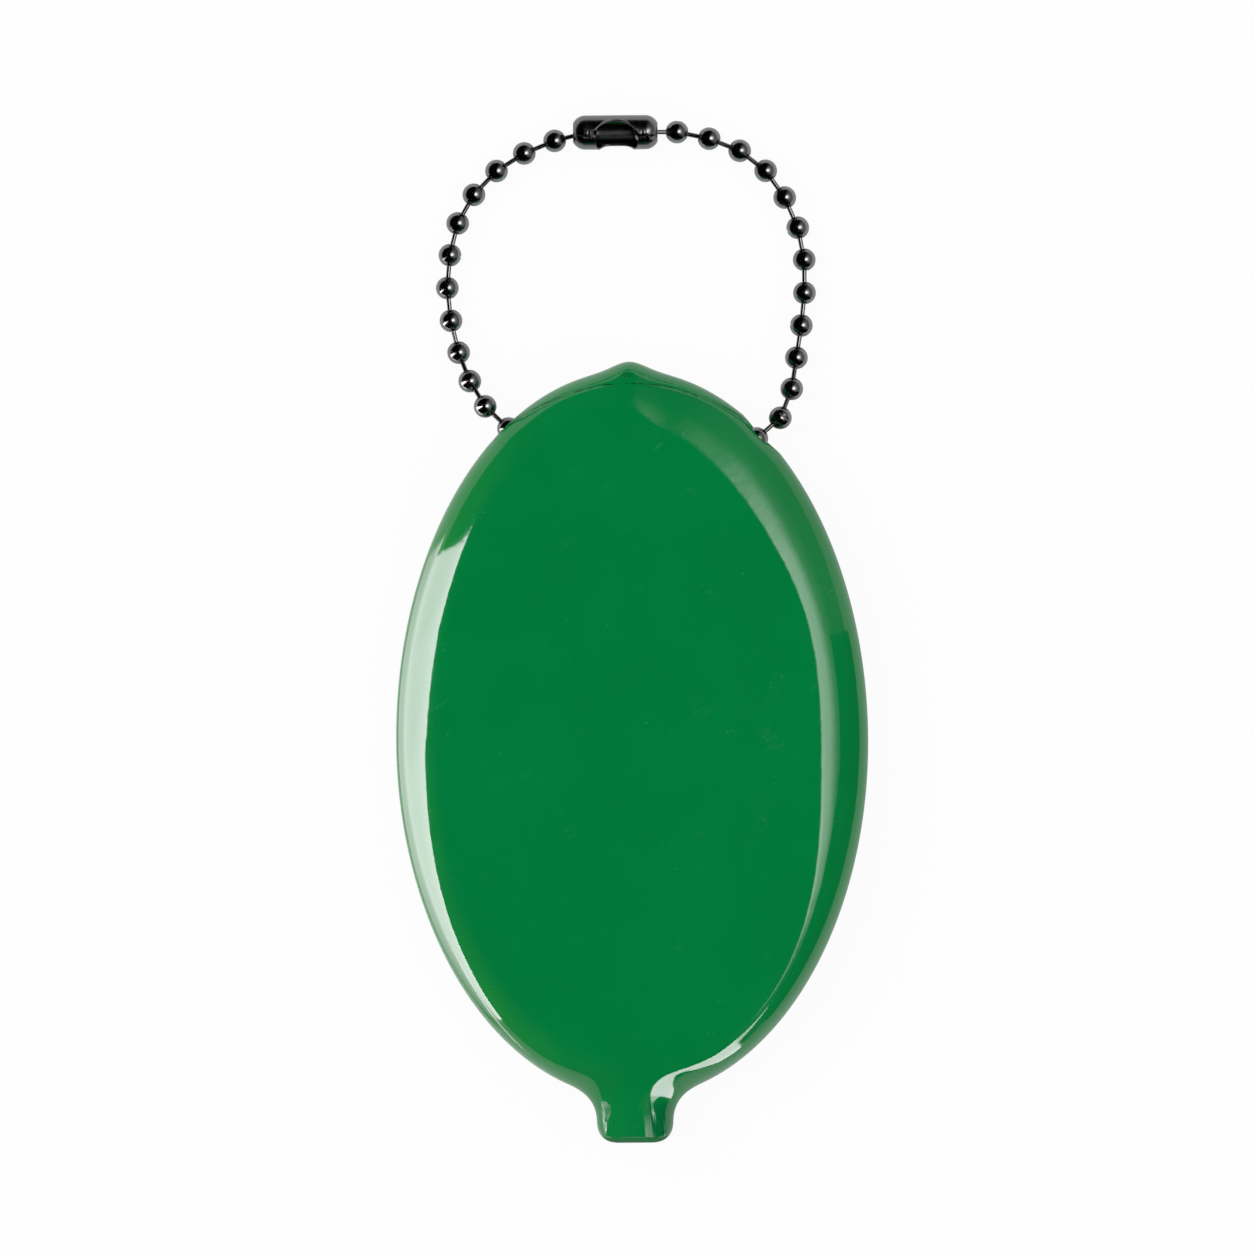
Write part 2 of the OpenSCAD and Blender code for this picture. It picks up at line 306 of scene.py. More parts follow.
class Shader:
    """Adds nodes to a material or world."""

    def __init__(self, owner: bpy.types.Material | bpy.types.World) -> None:
        """Empties the owner's node tree and starts it afresh."""
        owner.use_nodes = True
        self.tree = owner.node_tree
        self.tree.nodes.clear()

    def node(self, kind: str, settings: dict | None = None,
             inputs: dict | None = None) -> bpy.types.Node:
        """One node of any kind.

        Args:
            kind: The node's type.
            settings: Properties to set first.
            inputs: Socket names or numbers with their values or links.

        Returns:
            The node.
        """
        made = self.tree.nodes.new(kind)
        for key, value in (settings or {}).items():
            setattr(made, key, value)
        for key, value in (inputs or {}).items():
            self.feed(made.inputs[key], value)
        return made

    def feed(self, socket: bpy.types.NodeSocket, value: object) -> None:
        """Links a value or socket, or sets a plain value."""
        if isinstance(value, Value):
            value = value.socket
        if isinstance(value, bpy.types.NodeSocket):
            self.tree.links.new(value, socket)
        elif isinstance(value, tuple) and len(value) == 3 and socket.type == "RGBA":
            socket.default_value = (*value, 1.0)
        else:
            socket.default_value = value

    def math(self, operation: str, *values: Value | float, clamp: bool = False) -> Value:
        """One Math node on the values."""
        settings = {"operation": operation, "use_clamp": clamp}
        made = self.node("ShaderNodeMath", settings, dict(enumerate(values)))
        return Value(self, made.outputs[0])

    def attribute(self, name: str) -> Value:
        """The number that is stored at each point of the mesh under this name."""
        return Value(self, self.node("ShaderNodeAttribute", {"attribute_name": name}).outputs["Fac"])

    def ray(self, *kinds: str) -> tuple[Value, ...]:
        """Outputs of one Light Path node."""
        outputs = self.node("ShaderNodeLightPath").outputs
        return tuple(Value(self, outputs[kind]) for kind in kinds)

    def end(self, surface: bpy.types.Node) -> None:
        """Makes a node's first output the material's surface."""
        self.node("ShaderNodeOutputMaterial", inputs={"Surface": surface.outputs[0]})

    def place(self) -> tuple[Value, Value, Value]:
        """Object coordinates as three numbers, in millimetres."""
        where = self.node("ShaderNodeTexCoord").outputs["Object"]
        parts = self.node("ShaderNodeSeparateXYZ", inputs={0: where}).outputs
        return tuple(Value(self, part) * (1 / MM) for part in parts)

    def noise(self, size: float, detail: float = 2.0, stretch: Colour = (1, 1, 1),
              rough: float = 0.5) -> Value:
        """Noise between 0 and 1 on Object coordinates.

        Args:
            size: Size of a blotch in millimetres.
            detail: Number of finer layers.
            stretch: How much finer it is along each axis.
            rough: Weight of the finer layers.

        Returns:
            The noise.
        """
        where = self.node("ShaderNodeTexCoord").outputs["Object"]
        scale = tuple(s / (size * MM) for s in stretch)
        scaled = self.node("ShaderNodeMapping", inputs={"Vector": where, "Scale": scale})
        made = self.node("ShaderNodeTexNoise", inputs={
            "Vector": scaled.outputs[0], "Scale": 1.0, "Detail": detail, "Roughness": rough})
        return Value(self, made.outputs[0])

    def blend(self, share: Value | float, a: Colour | bpy.types.NodeSocket,
              b: Colour | bpy.types.NodeSocket) -> bpy.types.NodeSocket:
        """Mix of two colours: a at share 0 and b at share 1."""
        made = self.node("ShaderNodeMix", {"data_type": "RGBA"}, {"Factor": share, 6: a, 7: b})
        return made.outputs[2]

    def bump(self, height: Value, depth: float) -> bpy.types.NodeSocket:
        """Bump from a height between 0 and 1, with its depth in millimetres."""
        inputs = {"Height": height, "Strength": 1.0, "Distance": depth * MM}
        return self.node("ShaderNodeBump", inputs=inputs).outputs[0]


# --- finishes --------------------------------------------------------------------


@dataclass(frozen=True)
class VinylFinish:
    """Glossy soft vinyl, with the faint marks of its mould and of use, and on the shell painted light and
    shade.
    """

    green: Colour = (0.0, 0.222, 0.0510)
    deep: Colour = (0.0, 0.206, 0.0455)
    # Colour of the painted light on the left and lower rim.
    glow: Colour = (0.026, 0.275, 0.050)
    pale: Colour = (0.060, 0.330, 0.130)
    crease_painted_shade: Colour = (0.0, 0.062, 0.018)
    tab_painted_shade: Colour = (0.0, 0.135, 0.040)
    pit_painted_shade: Colour = (0.0, 0.10, 0.035)
    roughness: float = 0.055
    bump_depth: float = 0.075
    crease_top: float = 34.21
    crease_bend: float = 0.0200
    # marked adds the shell's painted light and painted shade, and the crease's bump.
    marked: bool = True

    def material(self, name: str) -> bpy.types.Material:
        """Makes the material.

        Args:
            name: The material's name.

        Returns:
            Mottled green with specks and hair scratches. The shell also has
            painted light on its left rim and painted shade along the dashed crease
            between the chain slits, on the right half of the tab and in the dimple by the nub.
        """
        made = bpy.data.materials.new(name)
        shader = Shader(made)
        x, y, z = shader.place()
        cloud = shader.noise(14.0, 3.0)
        grain = shader.noise(1.3, 2.0)
        colour = shader.blend(cloud.step(0.3, 0.7) * 0.8 + grain * 0.2, self.deep, self.green)
        speck = shader.noise(0.35, 1.0).step(0.735, 0.775) * shader.noise(3.0, 1.0).step(0.5, 0.62)
        colour = shader.blend(speck * 0.55, colour, self.pale)
        scratch = self.scratches(shader, x, y)
        colour = shader.blend(scratch * 0.3, colour, self.pale)
        height = shader.noise(5.5, 2.0) * 0.55 + shader.noise(1.6, 2.0) * 0.12
        height = height + speck * 0.03 - scratch * 0.02
        if self.marked:
            # Painted light: a paler yellow-green along the rim, strongest on the left and low down, stands
            # in for light from the left shining through the vinyl.
            weight = (1 - x.step(-12.0, 4.0) * 0.8) * (1 - y.step(12.0, 30.0) * 0.85)
            weight = weight * (shader.noise(9.0, 1.0) + 0.35) * (y.step(-66.0, -54.0) * 0.4 + 0.3)
            painted_rim_light = (shader.attribute("painted_light_rim_mask") * weight).op("MINIMUM", 1.0)
            colour = shader.blend(painted_rim_light, colour, self.glow)
            front = z.step(6.5, 7.5)
            # Painted shade: a dashed dark line along the crease between the chain slits, beside a small
            # bumped groove.
            off = abs(y - (self.crease_top - self.crease_bend * x * x))
            reach = (17.2 - abs(x + 0.2)).step(0.0, 0.6) * front * y.step(20.0, 24.0)
            dash = shader.noise(0.9, 2.0, (1.0, 0.3, 0.3)).step(0.42, 0.56) * 0.75 + 0.12
            line = (1 - off.step(0.03, 0.17)) * reach
            colour = shader.blend(line * dash, colour, self.crease_painted_shade)
            height = height - line * 0.09
            # Painted shade: the tab's right half, past a wavy line, is a deeper green, standing in for the
            # less light it reflects.
            wobble = shader.noise(2.0, 1.0) * 0.8 - 0.4
            on_tab = front * (y + 71.4).step(0.0, 0.5) * (-65.6 - y).step(0.0, 1.5)
            shaded_right_half = (x - 1.5 - wobble).step(0.0, 0.25)
            colour = shader.blend(shaded_right_half * on_tab * 0.55, colour, self.tab_painted_shade)
            # Painted shade: a dark ellipse in the dimple by the nub.
            pit_x, pit_y = x + 0.35, y - 35.36
            pit = (pit_x * pit_x * 1.2 + pit_y * pit_y * 7.5).step(0.35, 1.25)
            colour = shader.blend((1 - pit) * front * 0.42, colour, self.pit_painted_shade)
        shader.end(shader.node("ShaderNodeBsdfPrincipled", inputs={
            "Base Color": colour,
            "Roughness": shader.noise(2.2, 3.0) * 0.05 + self.roughness,
            "IOR": 1.5,
            "Normal": shader.bump(height, self.bump_depth),
        }))
        return made

    def scratches(self, shader: Shader, x: Value, y: Value) -> Value:
        """Hair scratches: thin ridges of stretched noise, only here and there."""
        slant = x * 0.8 + y * 0.6
        across = y * 0.8 - x * 0.6
        seat = shader.node("ShaderNodeCombineXYZ", inputs={0: slant * 0.16, 1: across * 1.5})
        long = shader.node("ShaderNodeTexNoise", inputs={
            "Vector": seat.outputs[0], "Scale": 1.0, "Detail": 1.0})
        ridge = 1 - abs(Value(shader, long.outputs[0]) - 0.5).step(0.0, 0.006)
        return ridge * shader.noise(6.0, 1.0).step(0.62, 0.68)


@dataclass(frozen=True)
class MetalFinish:
    """Black nickel plate, polished, with fine handling marks."""

    plate: Colour = (0.23, 0.23, 0.235)
    worn: Colour = (0.33, 0.325, 0.32)
    roughness: float = 0.10
    grain: float = 0.45
    depth: float = 0.012

    def material(self, name: str) -> bpy.types.Material:
        """Makes the material.

        Args:
            name: The material's name.

        Returns:
            Dark mirror metal, clouded in its colour and polish.
        """
        made = bpy.data.materials.new(name)
        shader = Shader(made)
        cloud = shader.noise(2.4, 3.0)
        fine = shader.noise(self.grain, 3.0, (1.0, 1.0, 2.5), 0.6)
        colour = shader.blend(fine.step(0.50, 0.78) * 0.6, self.plate, self.worn)
        shader.end(shader.node("ShaderNodeBsdfPrincipled", inputs={
            "Base Color": colour,
            "Metallic": 1.0,
            "Roughness": cloud * 0.06 + fine * 0.05 + self.roughness,
            "Normal": shader.bump(fine * 0.5 + cloud, self.depth),
        }))
        return made


class Finish(Enum):
    """The object's finishes, with the record's slot that each belongs to."""

    VINYL = ("vinyl", VinylFinish())
    LIP_VINYL = ("vinyl", VinylFinish(marked=False))
    BEAD = ("bead_metal", MetalFinish())
    LINK = ("link_wire", MetalFinish((0.22, 0.215, 0.21), (0.32, 0.31, 0.30), 0.14, 0.3))
    CONNECTOR = ("connector_metal", MetalFinish((0.19, 0.19, 0.195), (0.30, 0.295, 0.29), 0.16, 0.35, 0.02))

    def dress(self, piece: bpy.types.Object) -> None:
        """Puts this finish on a piece."""
        slot_name, finish = self.value
        name = f"finish_{self.name.lower()}"
        made = bpy.data.materials.get(name) or finish.material(name)
        piece.data.materials.clear()
        piece.data.materials.append(made)


def report(piece: bpy.types.Object) -> None:
    """Logs a finished piece and how many triangles it has."""
    piece.data.calc_loop_triangles()
    LOG.info("%s: %d triangles", piece.name, len(piece.data.loop_triangles))


# --- the shell -------------------------------------------------------------------


@dataclass
class ShellForm:
    """The moulded purse's form, from the same sizes and formulas as the solids."""

    half_w: float = 33.0
    top_h: float = 51.7
    bottom_h: float = 50.1
    rim_t: float = 12.0
    crown_h: float = 1.0
    wall: float = 1.8
    rim_side: float = 7.0
    rim_top_left: float = 5.2
    rim_top_right: float = 6.6
    rim_bottom: float = 3.6
    shoulder: float = 2.8
    shoulder_y: float = 35.0
    shoulder_l: float = 14.0
    rim_tab: float = 5.3
    rim_tab_end: float = 1.7
    nub_h: float = 1.15
    nub_w: float = 3.05
    tab_w: float = 10.7
    tab_l: float = 6.2
    tab_t: float = 10.4
    tab_corner: float = 3.1
    tab_fillet: float = 4.0
    tab_thin_l: float = 7.0
    tab_thin_from: float = 6.0
    slit_l: float = 76.0
    lip_w: float = 18.0
    lip_back: float = 0.3
    lip_gap: float = 0.2
    left_slit_at: float = -31.6
    right_slit_at: float = 34.2
    rim_slit_l: float = 7.2
    rim_slit_rise: float = 1.95
    mouth_round: float = 0.28
    left_press: float = -0.33
    right_press: float = 0.18
    slit_swell: float = 0.15
    crease_top: float = 49.8
    crease_bend: float = 0.02
    crease_half: float = 17.4
    crease_deep: float = 0.07
    dimple_x: float = -0.35
    dimple_y: float = 50.95
    dimple_deep: float = 0.07

    @property
    def mid_z(self) -> float:
        """Height of the rim's middle."""
        return self.rim_t / 2

    def reach(self, y: Array) -> Array:
        """Half length of the oval on the side of y."""
        return np.where(y > 0, self.top_h, self.bottom_h)

    def roundness(self, x: Array, y: Array) -> Array:
        """Share of the way from the middle to the oval."""
        return np.maximum(np.hypot(x / self.half_w, y / self.reach(y)), 0.001)

    def soft_bump(self, a: Array, b: Array, k: float) -> Array:
        """Rounding between two levels that are within k of each other."""
        h = np.maximum(k - np.abs(a - b), 0) / k
        return h * h * k / 4

    def soft_min(self, a: Array, b: Array, k: float) -> Array:
        """Rounded lesser of two levels."""
        return np.minimum(a, b) - self.soft_bump(a, b, k)

    def oval_level(self, x: Array, y: Array) -> Array:
        """Level of the oval with its nub: 0 on the outline, more inside."""
        lift = self.nub_h * np.exp(-(x / self.nub_w) ** 2) * (np.maximum(y, 0) / self.top_h) ** 2
        rho = self.roundness(x, y - lift)
        return np.maximum(np.hypot(x, y - lift), 0.001) * (1 / rho - 1)

    def tab_level(self, x: Array, y: Array) -> Array:
        """Level of the tab: a rounded bar below the oval."""
        sides = self.soft_min(self.tab_w / 2 - np.abs(x), y + self.bottom_h + self.tab_l, self.tab_corner)
        return self.soft_min(sides, -0.7 * self.bottom_h - y, self.tab_corner)

    def shell_level(self, x: Array, y: Array) -> Array:
        """Rounded greater of the oval's and the tab's levels."""
        oval, tab = self.oval_level(x, y), self.tab_level(x, y)
        return np.maximum(oval, tab) + self.soft_bump(oval, tab, self.tab_fillet)

    def rim_depth(self, x: Array, y: Array) -> Array:
        """Depth of the rim in plan: broad at the upper right, tight below and on the tab."""
        right = smooth((x + 6.0) / 12.0)
        top = mix(self.rim_side, mix(self.rim_top_left, self.rim_top_right, right), smooth(y / self.top_h))
        top = top + self.shoulder * right * np.exp(-(((y - self.shoulder_y) / self.shoulder_l) ** 2))
        low = mix(self.rim_side, self.rim_bottom, smooth(-y / (0.85 * self.bottom_h)))
        level_off = self.shoulder * right * math.exp(-((self.shoulder_y / self.shoulder_l) ** 2))
        oval = np.where(y > 0, top, low + level_off)
        tab = mix(self.rim_tab, self.rim_tab_end, smooth((-y - self.bottom_h - 2.9) / 2.5))
        return mix(oval, tab, self.tab_share(y))

    def tab_share(self, y: Array) -> Array:
        """0 on the pillow and 1 on the tab."""
        return smooth((-y - self.bottom_h + self.tab_thin_from) / self.tab_thin_l)

    def front_half(self, x: Array, y: Array) -> Array:
        """Height of the front face over the rim's middle."""
        crown = self.crown_h * np.maximum(1 - self.roundness(x, y) ** 2, 0) ** 2
        return mix(self.rim_t / 2 + crown, self.tab_t / 2, self.tab_share(y))

    def back_half(self, y: Array) -> Array:
        """Depth of the back face under the rim's middle."""
        return mix(self.rim_t / 2, self.tab_t / 2, self.tab_share(y))

    def spine(self, a: Array) -> Array:
        """Where the ray at angle a starts on the long axis."""
        return np.where(a < 0, 0.68 * self.bottom_h, 0.58 * self.top_h) * np.sin(a)

    def ray(self, a: Array, d: Array) -> tuple[Array, Array]:
        """Point at distance d on the ray at angle a."""
        return d * np.cos(a), self.spine(a) + d * np.sin(a)

    def level_share(self, x: Array, y: Array, side: Array | float, inset: float) -> Array:
        """Level as a share of the rim's depth, outside or inside the wall."""
        if inset > 0:
            return (self.oval_level(x, y) - inset) / np.maximum(self.rim_depth(x * side, y) - inset, 1.2)
        return self.shell_level(x, y) / self.rim_depth(x * side, y)

    def meet(self, a: Array, share: Array | float, side: Array | float = 1.0, inset: float = 0.0) -> Array:
        """Distance along each ray, on its side, to a level."""
        return self.halved(a, lambda d: self.level_share(*self.ray(a, d), side, inset) > share)

    def halved(self, a: Array, inside: Callable[[Array], Array]) -> Array:
        """Distance along each ray to where it leaves a form, by halving the span.

        Args:
            a: Ray angle of each column.
            inside: Tells for each distance whether its point is in the form.

        Returns:
            One distance a ray.
        """
        low, high = np.zeros_like(a), np.full_like(a, RAY_SPAN)
        for _ in range(HALVINGS):
            middle = (low + high) / 2
            held = inside(middle)
            low, high = np.where(held, middle, low), np.where(held, high, middle)
        return (low + high) / 2

    def lens_reach(self, a: Array) -> Array:
        """Distance along each ray to the curved seams of the coin slit."""
        radius = arc_radius(self.slit_l / 2, self.lip_w)

        def inside(d: Array) -> Array:
            """Whether each ray's point lies between the two seams."""
            x, y = self.ray(a, d)
            return np.hypot(np.abs(x) - (self.lip_w - radius), y) < radius

        return self.halved(a, inside)

    def angles(self, count: int) -> Array:
        """Ray angles of the right half, closer at the nub, slits and tab.

        Args:
            count: Number of steps between rays.

        Returns:
            Angles from -90 to 90 degrees, in radians: equal steps of the
            outline's length weighted by a sum of bell curves.
        """
        a = np.radians(np.linspace(-90, 90, 4001))
        x, y = self.ray(a, self.meet(a, 0.0))
        run = np.concatenate([[0], np.cumsum(np.hypot(np.diff(x), np.diff(y)))])
        weight = np.ones_like(run)
        for place, more in ((run[0] + 5.0, 2.0), (run[-1], 1.2), (self.slit_run(run, x), 3.0)):
            weight += more * np.exp(-(((run - place) / 6.0) ** 2))
        total = np.concatenate([[0], np.cumsum((weight[1:] + weight[:-1]) / 2 * np.diff(run))])
        even = np.interp(np.linspace(0, total[-1], count + 1), total, a)
        even[0], even[-1] = a[0], a[-1]
        return even

    def slit_run(self, run: Array, x: Array) -> float:
        """Length along the outline at which the chain slits lie."""
        upper = len(x) // 2
        place = self.half_w * math.sin(math.radians((self.right_slit_at - self.left_slit_at) / 2))
        return float(np.interp(-place, -x[upper:], run[upper:]))

    def mouth(self, x: Array, y: Array, grow: float) -> Array:
        """Half height of a chain slit where the outline passes (x, y).

        Args:
            x: Places on the outline.
            y: Places on the outline.
            grow: How much larger than the clear opening it is, all round.

        Returns:
            Lens of two arcs over each slit's length, 0 elsewhere.
        """
        open_to = np.zeros_like(x)
        for at in (self.left_slit_at, self.right_slit_at):
            s = self.along_mouth(x, y, at)
            half, rise = self.rim_slit_l / 2 + grow, self.rim_slit_rise + grow
            radius = arc_radius(half, rise)
            lens = np.sqrt(np.maximum(radius ** 2 - s ** 2, 0)) - (radius - rise)
            near = (np.abs(s) < half) & (x * at > 0) & (y > 0)
            open_to = np.where(near, np.maximum(lens, 0), open_to)
        return open_to

    def along_mouth(self, x: Array, y: Array, at: float) -> Array:
        """Distance along the rim from the middle of the slit at this place."""
        t = math.radians(at)
        normal = self.slit_normal(at)
        middle = (self.half_w * math.sin(t), self.top_h * math.cos(t))
        return (x - middle[0]) * normal[1] - (y - middle[1]) * normal[0]

    def slit_normal(self, at: float) -> Array:
        """Direction straight out of the oval at a slit's place."""
        t = math.radians(at)
        return unit(np.array([math.sin(t) / self.half_w, math.cos(t) / self.top_h]))


@dataclass
class Shell:
    """The seamless moulded skin and the two lips of the coin slit."""

    form: ShellForm = field(default_factory=ShellForm)
    half_count: int = 232
    rim_rows: int = 50
    face_rows: int = 18

    def ring_angles(self) -> tuple[Array, Array]:
        """Ray angle and side (+1 right, -1 left) of each column: right half up, left half down."""
        up = self.form.angles(self.half_count)
        a = np.concatenate([up, up[-2:0:-1]])
        side = np.concatenate([np.ones(len(up)), -np.ones(len(up) - 2)])
        return a, side

    def rim(self, a: Array, side: Array, front: bool, inset: float, rows: int) -> Array:
        """Half of the rounded rim, from the rim's middle or a slit's edge to its flat face.

        The level goes as 1 - cos t and the height as sin t, with t from the
        open edge to 90 degrees.

        Args:
            a: Ray angle of each column.
            side: Side of each column.
            front: Front half, or else the back half.
            inset: Distance inside the outer skin.
            rows: Number of steps in t.

        Returns:
            Grid of points.
        """
        form = self.form
        x0, y0 = form.ray(a, form.meet(a, 0.0, side, inset))
        half0 = (form.front_half(x0, y0) if front else form.back_half(y0)) - inset
        gap = form.mouth(x0 * side, y0, form.mouth_round)
        start = np.arcsin(np.clip(gap / half0, 0, 0.95))
        grid = []
        for k in range(rows + 1):
            t = mix(start, np.pi / 2, k / rows)
            x, y = form.ray(a, form.meet(a, 1 - np.cos(t), side, inset))
            half = (form.front_half(x, y) if front else form.back_half(y)) - inset
            z = form.mid_z + (1 if front else -1) * half * np.sin(t)
            grid.append(self.shaped(x * side, y, z, inset))
        return np.stack(grid)

    def shaped(self, x: Array, y: Array, z: Array, inset: float) -> Array:
        """Adds the moulded marks: crease, nub dimple and the slits' swollen lips.

        The crease is a bell groove along y = top - bend x^2, with a small step
        down past it. The dimple is a flat-bottomed hollow on the nub. Each
        slit's lower lip stands out along the rim, and its upper lip is pressed
        in, or out where its press is negative.
        """
        form = self.form
        if inset == 0.0:
            above = smooth((z - 7.0) / 1.5)
            off = y - (form.crease_top - form.crease_bend * x * x)
            run = smooth((form.crease_half - np.abs(x + 0.2)) / 1.5)
            groove = form.crease_deep * np.exp(-(off / 0.20) ** 2) + 0.03 * smooth(0.5 + off / 1.4)
            z = z - above * run * groove
            dimple = np.exp(-((x - form.dimple_x) / 0.85) ** 4 - ((y - form.dimple_y) / 0.36) ** 4)
            z = z - form.dimple_deep * above * dimple
            for at, press in ((form.left_slit_at, form.left_press), (form.right_slit_at, form.right_press)):
                s = form.along_mouth(x, y, at)
                here = (x * at > 0) * (y > 0)
                low = smooth((form.mid_z - z) / 1.2) * smooth(z / 2.0)
                high = smooth((z - form.mid_z) / 0.4) * smooth((10.8 - z) / 3.0)
                pressed = press * np.clip(1 - (s / 3.7) ** 2, 0, 1) ** 2
                push = here * (form.slit_swell * np.exp(-(s / 2.8) ** 4) * low - pressed * high)
                normal = form.slit_normal(at)
                x, y = x + normal[0] * push, y + normal[1] * push
        return np.stack([x, y - ORIGIN_Y, z], axis=-1)

    def face(self, a: Array, side: Array, inset: float) -> Array:
        """Front face from the rim's inner line to the spine, along each ray."""
        form = self.form
        far = form.meet(a, 1.0, side, inset)
        grid = []
        for k in range(self.face_rows + 1):
            share = 1 - k / self.face_rows
            x, y = form.ray(a, far * share)
            z = form.mid_z + form.front_half(x, y) - inset
            grid.append(self.shaped(x * side, y, z, inset))
        return np.stack(grid)

    def back(self, a: Array, side: Array, inset: float, rows: int) -> Array:
        """Back face from the rim's inner line to the coin slit's curved seam."""
        form = self.form
        far, near = form.meet(a, 1.0, side, inset), form.lens_reach(a)
        grid = []
        for k in range(rows + 1):
            x, y = form.ray(a, mix(far, near, k / rows))
            z = form.mid_z - form.back_half(y) + inset
            grid.append(self.shaped(x * side, y, z, inset))
        return np.stack(grid)

    def build(self) -> bpy.types.Object:
        """The shell: outer skin, cavity, the slits' rounded mouths and the seam's wall.

        Returns:
            The dressed object, which stands for the CAD shell.
        """
        a, side = self.ring_angles()
        wall = self.form.wall
        patch = Patchwork("shell_skin")
        edges: dict[tuple[bool, bool], Array] = {}
        backs: list[Array] = []
        for inset, rows in ((0.0, self.rim_rows), (wall, 16)):
            outer = inset == 0.0
            for front in (True, False):
                rim = self.rim(a, side, front, inset, rows)
                edges[(outer, front)] = rim[0]
                patch.grid(rim, closed=True, flip=front != outer)
            patch.grid(self.face(a, side, inset), closed=True, flip=not outer)
            back = self.back(a, side, inset, 6)
            backs.append(back[-1])
            patch.grid(back, closed=True, flip=outer)
        self.mouths(patch, edges)
        patch.grid(np.stack([backs[0], backs[1]]), closed=True, flip=True)
        made = patch.sew(38.0)
        self.mark_painted_rim_light(made)
        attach(made, "purse")
        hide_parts("purse_shell")
        Finish.VINYL.dress(made)
        report(made)
        return made

    def mark_painted_rim_light(self, made: bpy.types.Object) -> None:
        """Stores how near each point is to the outline, as the mask of the painted light on the rim: 1 by
        it, 0 from 6.4 mm inside.

        Args:
            made: The shell, which gets the point attribute that masks the painted rim light.
        """
        points = mesh_points(made) / MM
        level = self.form.shell_level(points[:, 0], points[:, 1] + ORIGIN_Y)
        store(made, "painted_light_rim_mask", smooth(1.15 - level / 5.6))

    def mouths(self, patch: Patchwork, edges: dict[tuple[bool, bool], Array]) -> None:
        """Rounded edges of the two chain slits, from the outer skin to the cavity.

        Across the wall the height dips towards the slit as a half sine, so
        each edge is a smooth roll.
        """
        middle = self.form.mid_z
        for front in (True, False):
            outer, inner = edges[(True, front)], edges[(False, front)]
            open_here = np.maximum(np.abs(outer[:, 2] - middle), np.abs(inner[:, 2] - middle)) > 1e-4
            open_here |= np.roll(open_here, 1) | np.roll(open_here, -1)
            for run in self.runs(open_here):
                rows = []
                for k in range(9):
                    u = k / 8
                    row = mix(outer[run], inner[run], (1 - math.cos(math.pi * u)) / 2)
                    dip = self.form.mouth_round * math.sin(math.pi * u)
                    lift = np.minimum(np.abs(row[:, 2] - middle) * 0.8, dip)
                    row[:, 2] -= (1 if front else -1) * lift
                    rows.append(row)
                patch.grid(np.stack(rows), flip=front)

    @staticmethod
    def runs(mask: Array) -> list[Array]:
        """Index runs where a mask holds, ring order kept and no run over the join."""
        index = np.flatnonzero(mask)
        return [part for part in np.split(index, np.flatnonzero(np.diff(index) > 1) + 1) if len(part)]

    def lip(self, side: int) -> bpy.types.Object:
        """One lip of the coin slit: a thin half lens that bends from the seam.

        Args:
            side: +1 right or -1 left.

        Returns:
            The dressed object, which stands for the CAD lip.
        """
        form = self.form
        a = form.angles(self.half_count)
        x_arc, y = form.ray(a, form.lens_reach(a))
        wide = np.flatnonzero(x_arc > form.lip_gap / 2)
        x_arc, y = x_arc[wide[0] - 1:wide[-1] + 2], y[wide[0] - 1:wide[-1] + 2]
        x_slit = np.minimum(form.lip_gap / 2, x_arc)
        patch = Patchwork("lip_skin_right" if side > 0 else "lip_skin_left")

        def row(share: float, z: Array | float) -> Array:
            """Points a share of the way from the seam to the slit, at height z."""
            x = mix(x_arc, x_slit, share)
            return np.stack([side * x, y - ORIGIN_Y, np.broadcast_to(z, x.shape)], axis=-1)

        low, high = [], []
        for k in range(25):
            share = smooth(k / 24)
            hang = form.lip_back * smooth((x_arc - x_slit) * share / 4.0)
            hang = hang * (1 + 0.15 * np.sin(y * 0.7 + side))
            low.append(row(share, hang))
            high.append(row(share, form.wall))
        roll = []
        width = np.maximum(x_arc - x_slit, 1e-6)
        middle, half = (low[-1][:, 2] + form.wall) / 2, (form.wall - low[-1][:, 2]) / 2
        for k in range(9):
            turn = math.pi * k / 8
            out = 0.35 * math.sin(turn) * smooth(width / 2.0)
            x = x_slit - np.minimum(out, form.lip_gap / 2 - 0.02)
            z = middle - half * math.cos(turn)
            roll.append(np.stack([side * x, y - ORIGIN_Y, z], axis=-1))
        flip = side < 0
        patch.grid(np.stack(low), flip=not flip)
        patch.grid(np.stack(roll), flip=not flip)
        patch.grid(np.stack(high), flip=flip)
        wall = [row(0.0, form.wall / 2 - form.wall / 2 * math.cos(math.pi * k / 8)) for k in range(9)]
        patch.grid(np.stack(wall), flip=flip)
        made = patch.sew(50.0)
        self.bend(made, side)
        return made

    def bend(self, made: bpy.types.Object, side: int) -> None:
        """Lets a lip bend smoothly from its curved seam to its free edge.

        Args:
            made: The lip.
            side: +1 right or -1 left.
        """
        form = self.form
        name = "right" if side > 0 else "left"
        start = (side * form.lip_w * MM, -ORIGIN_Y * MM, 0.0)
        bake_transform(made, "purse", f"lip_{name}", start=start, end=(0.0, start[1], 0.0))
        points = mesh_points(made) / MM
        x, y = points[:, 0], points[:, 1] + ORIGIN_Y
        radius = arc_radius(form.slit_l / 2, form.lip_w)
        arc = form.lip_w - radius + np.sqrt(np.maximum(radius ** 2 - y ** 2, 0))
        weight = smooth((arc - np.abs(x)) / form.lip_w * 1.6)
        made.data.attributes["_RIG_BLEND"].data.foreach_set("value", weight.astype(np.float32))
        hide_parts(f"slit_lip_{name}")
        Finish.LIP_VINYL.dress(made)
        report(made)


# --- the chain -------------------------------------------------------------------


